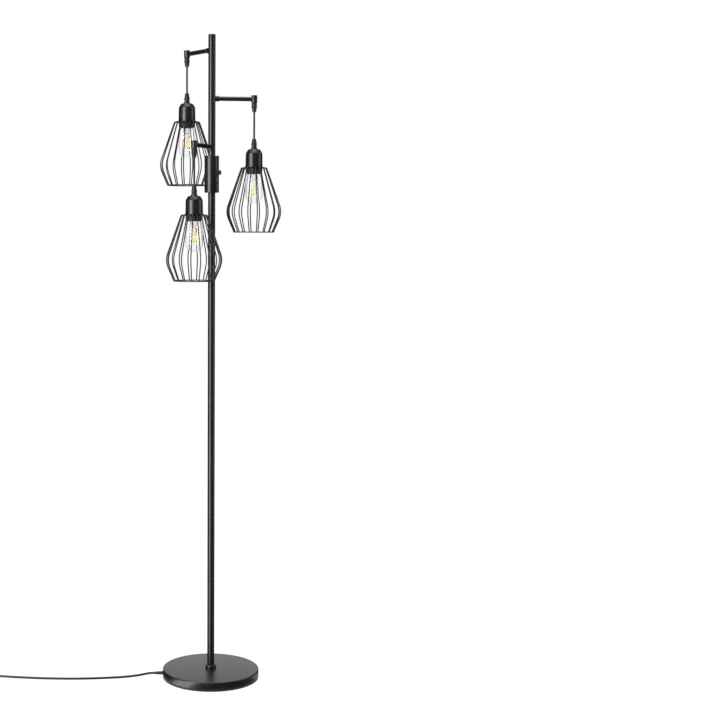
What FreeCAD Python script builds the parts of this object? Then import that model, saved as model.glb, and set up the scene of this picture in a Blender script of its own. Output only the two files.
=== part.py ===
"""Wire cage floor lamp: one pole, three arms, three pendant shades with bulbs.

Millimetres, +Z up. The origin is the centre of the felt pad's underside, on the floor,
and +X is the direction of the second arm. Each piece is written to parts/NAME.step.
"""
import math
import os

import FreeCAD
import Part

V = FreeCAD.Vector
UP = V(0, 0, 1)
ORIGIN = V(0, 0, 0)

# ---------------------------------------------------------------- driving sizes

HEIGHT = 1700.0            # floor to the top of the pole

BASE_D = 257.0             # disc base
BASE_H = 25.0
BASE_EDGE = 2.5            # rounding of the cover's upper edge
SHEET = 1.2                # steel sheet of the base cover and wall of the pole tube
FELT = 1.5

POLE_D = 19.0              # pole tube
POLE_JOIN_Z = 662.0        # where the lower and the middle tube meet

ARM_Z = (1660.0, 1536.0, 1412.0)
ARM_TURN = (120.0, 0.0, 240.0)
ARM_REACH = 111.0          # pole axis to the axis a shade hangs on
ARM_D = 11.5
ARM_WALL = 1.2

SWITCH_D = 38.0            # dimmer housing around the pole
SWITCH_Z = (1294.0, 1389.0)
SWITCH_WALL = 1.4
KNOB_Z = 1345.0
KNOB_TURN = -60.0          # direction the knob points in
KNOB_D = 12.0
KNOB_L = 10.5
KNOB_STANDS = 16.0         # knob face above the housing wall

CORD_D = 5.0               # cord that a shade hangs on
CORD_SEEN = 69.0           # its length between the two cord grips

CAGE_WIRES = 18
WIRE_D = 3.0
WIRE_TURN = (-3.0, 9.2, -2.5)   # how far each cage is turned on its own axis
CAGE_TOP_R = 33.0          # wires bend down here
CAGE_CORNER_R = 74.0       # where the two slopes of a wire would meet
CAGE_CORNER_DOWN = 118.0   # ... and how far below the cage's top
CAGE_FOOT_R = 52.0         # bottom ring
CAGE_H = 171.0
CAGE_BEND_R = 50.0

BULB_D = 45.0
BULB_L = 108.0
BULB_CAP_L = 25.7

MAINS_D = 6.0              # mains cord
MAINS_EXIT_TURN = 174.5    # where it leaves the base
MAINS_EXIT_Z = 11.0

# ---------------------------------------------------------------- clearances and flats

SLIP = 0.2                 # between a turned piece and the hole it drops into
SWING = 0.3                # round a hanging cord's end, where it turns in a grip
COIL_GAP = 0.5             # between neighbouring turns of the stored cord
TURNING = 0.05             # round the dimmer's shaft
BASE_FLATS = 36            # turned pieces are drawn with flats, so that the lamp stays light
POLE_FLATS = 18
FLATS = 18                 # cup and cage: one flat to each wire
SMALL_FLATS = 12           # arms, lampholder and bulb
GRIP_FLATS = 8             # cord grips, as their mouldings have, and cords

# ---------------------------------------------------------------- sizes that follow

pole_r = POLE_D / 2
bore_r = pole_r - SHEET
base_r = BASE_D / 2
switch_r = SWITCH_D / 2
switch_bore = switch_r - SWITCH_WALL
arm_r = ARM_D / 2
cord_r = CORD_D / 2
wire_r = WIRE_D / 2
mains_r = MAINS_D / 2
corner_in = math.cos(math.pi / GRIP_FLATS)       # in-radius of a grip or cord to its corners

# ---------------------------------------------------------------- ways of making solids


def polygon(radius, z, flats):
    """Corners of a regular polygon whose flats are as far out as radius."""
    corner = radius / math.cos(math.pi / flats)
    step = 2 * math.pi / flats
    angles = [step * (k + 0.5) for k in range(flats + 1)]
    return [V(corner * math.cos(a), corner * math.sin(a), z) for a in angles]


def sewn(faces):
    """Solid inside a closed set of faces."""
    shell = Part.Shell(faces)
    shell.sewShape()
    if Part.Solid(shell).Volume < 0:
        shell.reverse()
    return Part.Solid(shell)


def flatted(flats, *profile):
    """Turned piece with flats: the profile, a list of (r, z), is carried round a polygon."""
    faces = []
    for (r0, z0), (r1, z1) in zip(profile, profile[1:] + profile[:1]):
        if r0 == 0 and r1 == 0:
            continue
        first, second = polygon(r0, z0, flats), polygon(r1, z1, flats)
        if z0 == z1:
            wires = [Part.makePolygon(p) for p, r in ((first, r0), (second, r1)) if r]
            faces.append(Part.makeFace(wires, "Part::FaceMakerBullseye"))
            continue
        for a, b, c, d in zip(first, first[1:], second[1:], second):
            corners = [a, b, c, d]
            if r0 == 0:
                corners = [a, c, d]
            if r1 == 0:
                corners = [a, b, c]
            faces.append(Part.Face(Part.makePolygon(corners + corners[:1])))
    return sewn(faces)


def tube(flats, inner, outer, low, high):
    """Tube or washer with flats, standing between two heights."""
    return flatted(flats, (inner, low), (outer, low), (outer, high), (inner, high))


def rod(flats, radius, low, high):
    """Solid bar with flats, standing between two heights."""
    return Part.Face(Part.makePolygon(polygon(radius, low, flats))).extrude(V(0, 0, high - low))


def skinned(sections):
    """Solid through polygons whose sides are parallel to one another's."""
    faces = [Part.Face(Part.makePolygon(end + end[:1])) for end in (sections[0], sections[-1])]
    for low, high in zip(sections, sections[1:]):
        for k in range(len(low)):
            a, b, c, d = low[k], low[k - 1], high[k - 1], high[k]
            faces.append(Part.Face(Part.makePolygon([a, b, c, d, a])))
    return sewn(faces)


def hexagon_bar(points, last_cut=None):
    """Hexagonal bar along points in the XZ plane, mitred at each, flats up and down.
    last_cut is the normal of its last end's face."""
    corner = wire_r / math.cos(math.pi / 6)
    section = [(corner * math.cos(a), corner * math.sin(a))
               for a in (math.pi / 3 * (k + 0.5) for k in range(6))]
    runs = [(b - a).normalize() for a, b in zip(points, points[1:])]
    rings = []
    for k, point in enumerate(points):
        along = runs[min(k, len(runs) - 1)]
        before = runs[max(k - 1, 0)]
        face = last_cut if last_cut and k == len(points) - 1 else along + before
        side = V(-along.z, 0, along.x)
        rings.append([point + side * a + V(0, b, 0) - along * (a * side.dot(face) / along.dot(face))
                      for a, b in section])
    return skinned(rings)


def along_x(shape):
    """Lay a piece that was turned about Z along +X."""
    shape.rotate(ORIGIN, V(0, 1, 0), 90)
    return shape


def facing(shape, turn, z=0.0):
    """Turn a piece about the pole and lift it."""
    shape.translate(V(0, 0, z))
    shape.rotate(ORIGIN, UP, turn)
    return shape


def hung(shape, number):
    """Copy of a piece drawn about Z with the arm's axis at height 0, on its own arm."""
    placed = shape.copy()
    placed.translate(V(ARM_REACH, 0, ARM_Z[number - 1]))
    placed.rotate(ORIGIN, UP, ARM_TURN[number - 1])
    return placed


def group(*shapes):
    return Part.makeCompound(list(shapes))


pieces = {}

# ---------------------------------------------------------------- base

# A felt disc covers the whole underside, so the lamp doesn't scratch the floor.
pieces["base_felt_pad"] = rod(BASE_FLATS, base_r - 3.0, 0, FELT)

# Under the cover lies a cast weight, with a pit for the nut and a channel for the cord.
weight_top = BASE_H - SHEET
weight_r = base_r - SHEET
rod_r = 5.0                # threaded rod that clamps base and pole
rod_hole_r = rod_r + 2 * SLIP
nut_pit_top = FELT + 8.5
channel = Part.makeBox(base_r, 11.0, 15.0, V(0, -5.5, FELT))
weight = flatted(BASE_FLATS, (15.0, FELT), (weight_r, FELT), (weight_r, weight_top),
                 (rod_hole_r, weight_top), (rod_hole_r, nut_pit_top), (15.0, nut_pit_top))
pieces["base_weight"] = facing(weight.cut(channel), MAINS_EXIT_TURN)

# Spun steel cover, open below, with a softened upper edge and a hole for the cord.
cover = flatted(BASE_FLATS, (weight_r, 1.0), (base_r, 1.0), (base_r, BASE_H - BASE_EDGE),
                (base_r - BASE_EDGE, BASE_H), (rod_hole_r, BASE_H), (rod_hole_r, weight_top),
                (weight_r, weight_top))
neck_r = mains_r + 1.2
neck = facing(along_x(rod(SMALL_FLATS, neck_r, base_r - 10, base_r + 10)), 0, MAINS_EXIT_Z)
pieces["base_cover"] = facing(cover.cut(neck), MAINS_EXIT_TURN)

# Strain relief moulded on the cord: a head behind the wall and a tapered nose outside.
NOSE_L = 22.0
nose_end = base_r + NOSE_L
head_end = weight_r - 0.4
head_start = head_end - 4.4
wall_out = base_r + 0.3
bushing = flatted(SMALL_FLATS, (0, head_start), (5.0, head_start), (5.0, head_end), (neck_r, head_end),
                  (neck_r, wall_out), (mains_r + 2.0, wall_out), (mains_r + 0.6, nose_end),
                  (0, nose_end))
pieces["cord_bushing"] = facing(along_x(bushing), MAINS_EXIT_TURN, MAINS_EXIT_Z)

# Hollow threaded rod through base and pole foot, with its washer and nut in the pit.
INSERT_L = 16.0
nut = tube(6, rod_r, 8.5, 3.5, 8.5)
washer = tube(SMALL_FLATS, rod_r, 13.0, 8.5, nut_pit_top)
threaded_rod = tube(SMALL_FLATS, 3.6, rod_r, 3.0, BASE_H + INSERT_L)
pieces["base_fasteners"] = group(threaded_rod, washer, nut)

# ---------------------------------------------------------------- pole

foot_r = 14.5
foot_top = BASE_H + 9.0
pieces["pole_foot_collar"] = flatted(POLE_FLATS, (pole_r, BASE_H), (foot_r, BASE_H),
                                     (foot_r, foot_top - 2.5), (foot_r - 2.5, foot_top),
                                     (pole_r, foot_top))

FLANGE_LOW, FLANGE_TOP, SPIGOT = 4.8, 1.5, 7.5
low_seat = SWITCH_Z[0] + FLANGE_LOW
top_seat = SWITCH_Z[1] - FLANGE_TOP
CAP_RIM = 2.0

pieces["pole_lower"] = tube(POLE_FLATS, bore_r, pole_r, BASE_H, POLE_JOIN_Z)
pieces["pole_middle"] = tube(POLE_FLATS, bore_r, pole_r, POLE_JOIN_Z, low_seat + SPIGOT)
upper = tube(POLE_FLATS, bore_r, pole_r, top_seat - SPIGOT, HEIGHT - CAP_RIM)
for turn, z in zip(ARM_TURN, ARM_Z):
    upper = upper.cut(facing(along_x(rod(SMALL_FLATS, arm_r, 0, 2 * pole_r)), turn, z))
pieces["pole_upper"] = upper

# Threaded inserts: one in the pole's foot, one where the two lower tubes meet.
foot_insert = tube(SMALL_FLATS, rod_r, bore_r * math.cos(math.pi / SMALL_FLATS), BASE_H,
                   BASE_H + INSERT_L)
join_insert = tube(SMALL_FLATS, 4.2, bore_r * math.cos(math.pi / SMALL_FLATS), POLE_JOIN_Z - 20,
                   POLE_JOIN_Z + 20)
pieces["pole_couplers"] = group(foot_insert, join_insert)

# Plug that closes the top of the pole, slightly crowned.
cap_edge = HEIGHT - CAP_RIM
pieces["pole_cap"] = flatted(POLE_FLATS, (0, cap_edge - 9), (bore_r, cap_edge - 9),
                             (bore_r, cap_edge), (pole_r, cap_edge), (pole_r - 0.3, HEIGHT - 0.8),
                             (pole_r - 2.0, HEIGHT), (0, HEIGHT))

# ---------------------------------------------------------------- dimmer

# The pole is interrupted inside this housing, which leaves room for the dimmer.
BUSH_R, SHAFT_R = 3.5, 2.0
bush_hole = facing(along_x(rod(SMALL_FLATS, BUSH_R, 0, 30)), KNOB_TURN, KNOB_Z)
housing = facing(tube(POLE_FLATS, switch_bore, switch_r, low_seat, top_seat), KNOB_TURN)
pieces["switch_housing"] = housing.cut(bush_hole)


def end_cap(outer_z, seat_z, spigot_z):
    """Flange flush with the housing and a spigot inside it, bored for the pole."""
    cap = flatted(POLE_FLATS, (10.5, outer_z), (switch_r, outer_z), (switch_r, seat_z),
                  (switch_bore, seat_z), (switch_bore, spigot_z), (10.5, spigot_z))
    cap = facing(cap, KNOB_TURN)
    sleeve = rod(POLE_FLATS, 11.5, min(outer_z, spigot_z), max(outer_z, spigot_z))
    return cap.fuse(sleeve).cut(rod(POLE_FLATS, pole_r, SWITCH_Z[0], SWITCH_Z[1])).removeSplitter()


lower_cap = end_cap(SWITCH_Z[0], low_seat, low_seat + SPIGOT)
upper_cap = end_cap(SWITCH_Z[1], top_seat, top_seat - SPIGOT)
pieces["switch_end_caps"] = group(lower_cap, upper_cap)

# Dimmer module: a block with a shoulder behind the wall and a threaded bush through it.
MODULE_X, MODULE_Y, MODULE_H = 11.0, 20.0, 26.0
module_face = 14.0
shoulder_r = 6.0
shoulder = math.sqrt(switch_bore ** 2 - shoulder_r ** 2) - 0.1
shaft_end = 8.0
bush_end = switch_r + 3.0
block = Part.makeBox(MODULE_X, MODULE_Y, MODULE_H,
                     V(module_face - MODULE_X, -MODULE_Y / 2, -MODULE_H / 2))
bush = along_x(flatted(SMALL_FLATS, (0, module_face), (shoulder_r, module_face),
                       (shoulder_r, shoulder), (BUSH_R, shoulder), (BUSH_R, bush_end),
                       (0, bush_end)))
shaft_hole = along_x(Part.makeCylinder(SHAFT_R + TURNING, bush_end, V(0, 0, shaft_end - 0.5)))
pieces["dimmer_module"] = facing(block.fuse(bush).cut(shaft_hole), KNOB_TURN, KNOB_Z)

nut_end = switch_r + 2.2
dimmer_nut = along_x(flatted(SMALL_FLATS, (BUSH_R, switch_r), (5.25, switch_r), (5.25, nut_end - 0.4),
                             (4.85, nut_end), (BUSH_R, nut_end)))
pieces["dimmer_nut"] = facing(dimmer_nut, KNOB_TURN, KNOB_Z)

# Knob: a short hub and a wider grip with softened edges, pressed on a round shaft.
knob_face = switch_r + KNOB_STANDS
knob_back = knob_face - KNOB_L
knob_r = KNOB_D / 2
hub_back = bush_end + 0.4
seat_end = knob_face - 2.5
knob = flatted(FLATS, (SHAFT_R, hub_back), (3.3, hub_back), (3.3, knob_back), (knob_r, knob_back),
               (knob_r, knob_face - 0.6), (knob_r - 0.6, knob_face), (0, knob_face), (0, seat_end),
               (SHAFT_R, seat_end))
pieces["dimmer_knob"] = facing(along_x(knob), KNOB_TURN, KNOB_Z)
shaft = Part.makeCylinder(SHAFT_R, seat_end - shaft_end, V(0, 0, shaft_end))
pieces["dimmer_shaft"] = facing(along_x(shaft), KNOB_TURN, KNOB_Z)

# ---------------------------------------------------------------- arms

# Drawn along +X at height 0. The collar's inner end is hollowed to sit on the pole.
ELBOW_D, ELBOW_H = 16.0, 20.0
elbow_r = ELBOW_D / 2
elbow_low = -ELBOW_H / 2
WIRE_WAY_R = 4.1           # vertical bore for the cord's conductors
arm_end = ARM_REACH - WIRE_WAY_R + 0.4
arm = along_x(tube(SMALL_FLATS, arm_r - ARM_WALL, arm_r, bore_r - 0.3, arm_end))

collar_end = 18.5
collar_r = arm_r + 1.55
collar = along_x(flatted(SMALL_FLATS, (arm_r, 0), (collar_r, 0), (collar_r, collar_end - 0.8),
                         (collar_r - 0.8, collar_end), (arm_r, collar_end)))
collar = collar.cut(rod(POLE_FLATS, pole_r, -20, 20))

elbow = flatted(SMALL_FLATS, (0, elbow_low), (elbow_r, elbow_low), (elbow_r, -elbow_low - 0.8),
                (elbow_r - 0.8, -elbow_low), (0, -elbow_low))
elbow = elbow.cut(rod(GRIP_FLATS, WIRE_WAY_R, elbow_low, 3.0))
elbow.translate(V(ARM_REACH, 0, 0))
elbow = elbow.cut(along_x(rod(SMALL_FLATS, arm_r, 0, arm_end)))

collars = []
for number, (turn, z) in enumerate(zip(ARM_TURN, ARM_Z), start=1):
    pieces[f"arm_tube_{number}"] = facing(arm.copy(), turn, z)
    pieces[f"arm_elbow_{number}"] = facing(elbow.copy(), turn, z)
    collars.append(facing(collar.copy(), turn, z))
pieces["arm_collars"] = group(*collars)

# ---------------------------------------------------------------- cord grips

# One moulding serves at both ends of a pendant cord: a body that screws into the elbow or
# the cup, and a conical nut whose mouth flares, because the cord turns in it.
STEM_CLEAR = 0.25          # between the grip's stem and the arm above it
stem_up = ELBOW_H / 2 - arm_r - STEM_CLEAR
BODY_L, FLANGE_L, NUT_L = 9.3, 1.9, 11.8
GRIP_L = BODY_L + FLANGE_L + NUT_L
grip_bore = cord_r + SWING
thread_r = WIRE_WAY_R - SLIP
stem_hole_r = thread_r / corner_in + SLIP
MOUTH_R, MOUTH_DEEP = 3.9, 1.4
PIVOT_IN = 0.5             # the cord turns this far inside the mouth


def grip_body(stem):
    """Body with its seat at height 0, pointing down, and a threaded stem upwards."""
    return flatted(GRIP_FLATS, (grip_bore, stem), (thread_r, stem), (thread_r, 0), (6.5, 0),
                   (7.3, -BODY_L), (7.75, -BODY_L), (7.75, -BODY_L - FLANGE_L),
                   (grip_bore, -BODY_L - FLANGE_L))


def grip_nut():
    top = -BODY_L - FLANGE_L
    return flatted(GRIP_FLATS, (grip_bore, top), (6.3, top), (5.1, -GRIP_L), (MOUTH_R, -GRIP_L),
                   (grip_bore, MOUTH_DEEP - GRIP_L))


def upside_down(shape):
    shape.rotate(ORIGIN, V(1, 0, 0), 180)
    return shape


upper_body, upper_nut = grip_body(stem_up), grip_nut()
for shape in (upper_body, upper_nut):
    shape.translate(V(0, 0, elbow_low))
pieces["elbow_grip_bodies"] = group(*[hung(upper_body, n) for n in (1, 2, 3)])
pieces["elbow_grip_nuts"] = group(*[hung(upper_nut, n) for n in (1, 2, 3)])

# ---------------------------------------------------------------- pendant, from top to bottom

cord_top = elbow_low - GRIP_L + PIVOT_IN
cord_low = elbow_low - GRIP_L - CORD_SEEN - PIVOT_IN
dome = [(cord_r * corner_in * math.cos(a), cord_r * math.sin(a))
        for a in (0, math.pi / 6, math.pi / 3)]
pendant_cord = flatted(GRIP_FLATS, *[(r, cord_top + h) for r, h in dome], (0, cord_top + cord_r),
                       (0, cord_low - cord_r), *[(r, cord_low - h) for r, h in reversed(dome)])

seat = elbow_low - GRIP_L - CORD_SEEN - GRIP_L   # where the lower grip's body sits on the cup

COLLAR_H, COLLAR_R = 4.0, 8.8
CUP_TOP_R, CUP_SHOULDER_R, CUP_RIM_R = 15.0, 21.8, 22.5
CUP_SHOULDER_H, CUP_H, CUP_WALL = 10.5, 45.5, 1.0
cup_top = seat - COLLAR_H
cup_inside = cup_top - CUP_WALL
cage_top = cup_top - CUP_H
lower_body = upside_down(grip_body(COLLAR_H + CUP_WALL + 2.0))
lower_nut = upside_down(grip_nut())
for shape in (lower_body, lower_nut):
    shape.translate(V(0, 0, seat))
cord_grip = group(lower_body, lower_nut)

cup = flatted(FLATS, (stem_hole_r, seat), (COLLAR_R, seat), (COLLAR_R, cup_top),
              (CUP_TOP_R, cup_top), (CUP_SHOULDER_R, cup_top - CUP_SHOULDER_H),
              (CUP_RIM_R, cage_top), (CUP_RIM_R - CUP_WALL, cage_top),
              (CUP_SHOULDER_R - CUP_WALL, cup_top - CUP_SHOULDER_H - 0.4),
              (CUP_TOP_R - 0.5, cup_inside), (stem_hole_r, cup_inside))

# Lampholder: a closed body in the cup, a threaded skirt for the shade ring, a mouth below.
WASHER_H = 1.2
wire_z = cage_top - WASHER_H - wire_r
RING_H, LIP_H = 11.0, 3.3
ring_top = wire_z - wire_r
ring_low = ring_top - RING_H
mouth = ring_low - LIP_H
skirt_r, holder_bore, lip_r, mouth_r = 20.0, 14.6, 18.0, 17.0
MOUTH_UP = 6.0
CAP_ABOVE_MOUTH = 4.8      # the bulb's cap ends this far inside the mouth
cap_low = mouth + CAP_ABOVE_MOUTH
contact = cap_low + BULB_CAP_L
bulb_tip = contact - BULB_L
holder = flatted(SMALL_FLATS, (stem_hole_r, cup_inside), (13.5, cup_inside),
                 (17.0, cup_inside - 7.0), (17.0, contact - 1),
                 (skirt_r, contact - 1), (skirt_r, ring_low), (lip_r, ring_low), (lip_r, mouth),
                 (mouth_r, mouth), (mouth_r, mouth + MOUTH_UP), (holder_bore, mouth + MOUTH_UP),
                 (holder_bore, contact + SLIP), (stem_hole_r, contact + SLIP))
screw_shell = tube(SMALL_FLATS, holder_bore - 0.5, holder_bore, mouth + MOUTH_UP, contact - 2)
lampholder = group(holder, screw_shell)

# Shade ring: an internally threaded collar with upright ribs for the fingers.
RIBS, RIB_DEEP, RING_R = 24, 0.9, 22.0
rib_edge = []
for k in range(2 * RIBS):
    radius = RING_R - RIB_DEEP * (k % 2)
    angle = math.pi * k / RIBS
    rib_edge.append(V(radius * math.cos(angle), radius * math.sin(angle), ring_low))
rib_wires = [Part.makePolygon(rib_edge + rib_edge[:1]),
             Part.makePolygon(polygon(skirt_r, ring_low, SMALL_FLATS))]
rib_face = Part.makeFace(rib_wires, "Part::FaceMakerBullseye")
shade_ring = rib_face.extrude(V(0, 0, RING_H))

# ---------------------------------------------------------------- cage

# Each wire starts under the washer, bends down, runs out, curves in and ends on the ring.
foot_z = cage_top - CAGE_H + wire_r
corner = V(CAGE_CORNER_R, 0, cage_top - CAGE_CORNER_DOWN)
shoulder_point = V(CAGE_TOP_R, 0, wire_z)
foot = V(CAGE_FOOT_R, 0, foot_z + wire_r)
down_out = (corner - shoulder_point).normalize()
down_in = (foot - corner).normalize()
half_turn = down_out.getAngle(down_in) / 2
bend_start = corner - down_out * (CAGE_BEND_R * math.tan(half_turn))
bend_centre = bend_start + V(down_out.z, 0, -down_out.x) * CAGE_BEND_R
WIRE_CHORDS = 2            # straight lengths that stand for the wide bend
spoke = bend_start - bend_centre
bend = []
for k in range(WIRE_CHORDS + 1):
    swing = FreeCAD.Rotation(V(0, 1, 0), math.degrees(2 * half_turn) * k / WIRE_CHORDS)
    bend.append(bend_centre + swing.multVec(spoke))
wire = hexagon_bar([V(skirt_r + 1.0, 0, wire_z), shoulder_point] + bend + [foot], last_cut=UP)

WASHER_R, WASHER_BORE = 25.0, 20.9
washer = tube(FLATS, WASHER_BORE, WASHER_R, cage_top - WASHER_H, cage_top)
half_flat = wire_r * math.tan(math.pi / 6)
foot_ring = flatted(FLATS, (CAGE_FOOT_R - half_flat, foot_z + wire_r),
                    (CAGE_FOOT_R + half_flat, foot_z + wire_r), (CAGE_FOOT_R + 2 * half_flat, foot_z),
                    (CAGE_FOOT_R + half_flat, foot_z - wire_r),
                    (CAGE_FOOT_R - half_flat, foot_z - wire_r), (CAGE_FOOT_R - 2 * half_flat, foot_z))
rings = group(washer, foot_ring)


def turned_by(shape, turn):
    """Copy of a piece turned on the shade's own axis."""
    copy = shape.copy()
    copy.rotate(ORIGIN, UP, turn)
    return copy


def cage_wires(turn):
    return group(*[turned_by(wire, turn + 360.0 * k / CAGE_WIRES) for k in range(CAGE_WIRES)])


# ---------------------------------------------------------------- bulb

bulb_r = BULB_D / 2
CAP_R, CAP_SHEET, GLASS = 13.2, 0.8, 0.9
NECK_IN, NECK_OUT = 6.0, 2.6    # how far the straight neck reaches into and out of the cap
SHOULDER_H, DOME_H = 21.0, 21.0
glass_neck_r = CAP_R - CAP_SHEET
bulb_cap = flatted(SMALL_FLATS, (0, contact), (4.8, contact), (4.8, contact - 1.5),
                   (10.5, contact - 3.5), (CAP_R, contact - 5.5), (CAP_R, cap_low),
                   (glass_neck_r, cap_low), (glass_neck_r, contact - 7), (0, contact - 7))


def glass_profile(inset):
    """Glass from its neck down to its tip, set in by inset: two elliptical curves."""
    neck = glass_neck_r - inset
    neck_end = cap_low - NECK_OUT
    points = [(neck, cap_low + NECK_IN), (neck, neck_end)]
    for angle in (30, 60, 90):
        a = math.radians(angle)
        points.append((neck + (bulb_r - glass_neck_r) * math.sin(a),
                       neck_end - SHOULDER_H * (1 - math.cos(a))))
    for angle in (0, 30, 60):
        a = math.radians(angle)
        points.append(((bulb_r - inset) * math.cos(a),
                       bulb_tip + inset + (DOME_H - inset) * (1 - math.sin(a))))
    return points + [(0, bulb_tip + inset)]


bulb_glass = flatted(SMALL_FLATS, *glass_profile(0), *reversed(glass_profile(GLASS)))

# Glass stem with its flare in the neck, a rod, and four filaments that lean together.
STEM_R, STEM_L, FLARE_H = 5.0, 21.0, 1.2
flare_r = glass_neck_r - GLASS
flare_top = cap_low + NECK_IN
stem_low = cap_low - STEM_L
stem = flatted(SMALL_FLATS, (0, flare_top), (flare_r, flare_top), (flare_r, flare_top - FLARE_H),
               (STEM_R, flare_top - 5 * FLARE_H), (STEM_R, stem_low), (0, stem_low))


def bar(start, end, radius, flats):
    """Straight bar with flats between two points."""
    length = end - start
    made = rod(flats, radius, 0, length.Length)
    made.Placement = FreeCAD.Placement(start, FreeCAD.Rotation(UP, length))
    return made


FILAMENTS, FILAMENT_R = 4, 0.9
FILAMENT_TOP_R, FILAMENT_LOW_R = 8.6, 4.2
FILAMENT_L = 32.0
filament_top = stem_low - 4.0
filament_low = filament_top - FILAMENT_L
SUPPORT_R, ROD_R = 0.35, 0.7
rod_low = filament_low - 3.0
mount_parts = [stem, bar(V(0, 0, stem_low), V(0, 0, rod_low), ROD_R, 4)]
for k in range(FILAMENTS):
    side = FreeCAD.Rotation(UP, 360.0 * (k + 0.5) / FILAMENTS).multVec(V(1, 0, 0))
    high = side * FILAMENT_TOP_R + V(0, 0, filament_top)
    low = side * FILAMENT_LOW_R + V(0, 0, filament_low)
    mount_parts.append(bar(high, low, FILAMENT_R, 4))
    mount_parts.append(bar(side * (STEM_R - 1.4) + V(0, 0, stem_low), high, SUPPORT_R, 4))
    mount_parts.append(bar(low, V(0, 0, rod_low), SUPPORT_R, 4))
filaments = mount_parts[0].multiFuse(mount_parts[1:])

# ---------------------------------------------------------------- the three pendants

for number, turn in enumerate(WIRE_TURN, start=1):
    pieces[f"pendant_cord_{number}"] = hung(pendant_cord, number)
    pieces[f"cord_grip_{number}"] = hung(cord_grip, number)
    pieces[f"cup_{number}"] = hung(cup, number)
    pieces[f"lampholder_{number}"] = hung(lampholder, number)
    pieces[f"shade_ring_{number}"] = hung(shade_ring, number)
    pieces[f"cage_wires_{number}"] = hung(cage_wires(turn), number)
    pieces[f"cage_rings_{number}"] = hung(turned_by(rings, turn), number)
    pieces[f"bulb_cap_{number}"] = hung(bulb_cap, number)
    pieces[f"bulb_glass_{number}"] = hung(bulb_glass, number)
    pieces[f"bulb_filaments_{number}"] = hung(filaments, number)

# ---------------------------------------------------------------- mains cord on the floor

# The cord leaves the base square to its wall, comes down to the floor and runs off to the
# left. The points are chosen by hand; the last one is where the stored coil begins.
exit_way = V(math.cos(math.radians(MAINS_EXIT_TURN)), math.sin(math.radians(MAINS_EXIT_TURN)), 0)
lift = V(0, 0, MAINS_EXIT_Z)
mains_route = [exit_way * nose_end + lift, exit_way * (nose_end + 14) + lift,
               V(-187.0, 14.6, 6.8), V(-226.0, 12.2, 3.5), V(-275.0, 10.6, mains_r),
               V(-332.0, 10.2, mains_r), V(-392.0, 15.4, mains_r), V(-453.0, 26.0, mains_r),
               V(-514.0, 40.6, mains_r), V(-576.0, 60.0, mains_r), V(-636.0, 82.0, mains_r)]
ARC_SHARE = 0.45           # part of the shorter run that a corner's arc takes up


def rounded_route(points):
    """Straight runs joined by tangent arcs, as edges, with the arcs' radii."""
    edges, radii, start = [], [], points[0]
    for before, here, after in zip(points, points[1:], points[2:]):
        back, ahead = before - here, after - here
        take = ARC_SHARE * min(back.Length, ahead.Length)
        half = (math.pi - back.getAngle(ahead)) / 2
        radius = take / math.tan(half)
        back.normalize()
        ahead.normalize()
        enter, leave = here + back * take, here + ahead * take
        inward = (back + ahead).normalize()
        middle = here + inward * (radius / math.cos(half) - radius)
        edges.append(Part.LineSegment(start, enter).toShape())
        edges.append(Part.Arc(enter, middle, leave).toShape())
        radii.append(radius)
        start = leave
    edges.append(Part.LineSegment(start, points[-1]).toShape())
    return edges, radii


def cord_along(edges, half_width, flats):
    """One unbroken tube along tangent edges, with flats, one of them downwards."""
    path = Part.Wire(edges)
    first = edges[0]
    way = first.tangentAt(first.FirstParameter)
    section = Part.makePolygon(polygon(half_width, 0, flats))
    section.Placement = FreeCAD.Placement(first.valueAt(first.FirstParameter),
                                          FreeCAD.Rotation(UP.cross(way), UP, way, "ZYX"))
    return path.makePipeShell([section], True, False), path.Length


def report_cord(name, solid, length, half_width, flats):
    area = flats * half_width ** 2 * math.tan(math.pi / flats)
    print(f"{name}: length {length:.1f}, volume {solid.Volume:.0f}, section x length "
          f"{area * length:.0f}, valid {solid.isValid()}")


mains_edges, mains_radii = rounded_route(mains_route)
cord_half = mains_r * corner_in
mains_cord, mains_length = cord_along(mains_edges, cord_half, GRIP_FLATS)
pieces["mains_cord"] = mains_cord
print("mains cord arc radii:", ", ".join(f"{r:.0f}" for r in mains_radii))
report_cord("mains_cord", mains_cord, mains_length, cord_half, GRIP_FLATS)

# The length that isn't laid out is stored as a round coil: it spirals in on the floor,
# climbs one layer in its innermost quarter turn and spirals out again on top.
COIL_QUARTERS = 17         # quarter turns in all
CLIMB_FROM = 13            # quarter turns on the floor
COIL_OUT_R = 46.0          # radius of the outermost turn, on its centre line
COIL_FLATS = 4
TAIL_L = 42.0              # straight end that crosses the outer turns to the plug
PITCH = MAINS_D + COIL_GAP
coil_start = mains_route[-1]
coil_way = (mains_route[-1] - mains_route[-2]).normalize()
coil_inward = V(coil_way.y, -coil_way.x, 0)
lead_in = coil_start + coil_way * MAINS_D
coil_centre = lead_in + coil_inward * COIL_OUT_R
innermost = CLIMB_FROM + 0.5


def coil_point(quarter):
    """Place on the coil after so many quarter turns."""
    radius = COIL_OUT_R - PITCH * (innermost - abs(quarter - innermost)) / 4
    climb = min(max(quarter - CLIMB_FROM, 0), 1)
    spoke = FreeCAD.Rotation(UP, -90.0 * quarter).multVec(coil_inward * -radius)
    return coil_centre + spoke + V(0, 0, PITCH * climb)


def coil_way_at(quarter):
    """Level direction of travel there; the two ends leave square to their spokes."""
    if quarter in (0, COIL_QUARTERS):
        return FreeCAD.Rotation(UP, -90.0 * quarter).multVec(coil_way)
    near = 0.01
    way = coil_point(quarter + near) - coil_point(quarter - near)
    return V(way.x, way.y, 0).normalize()


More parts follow.
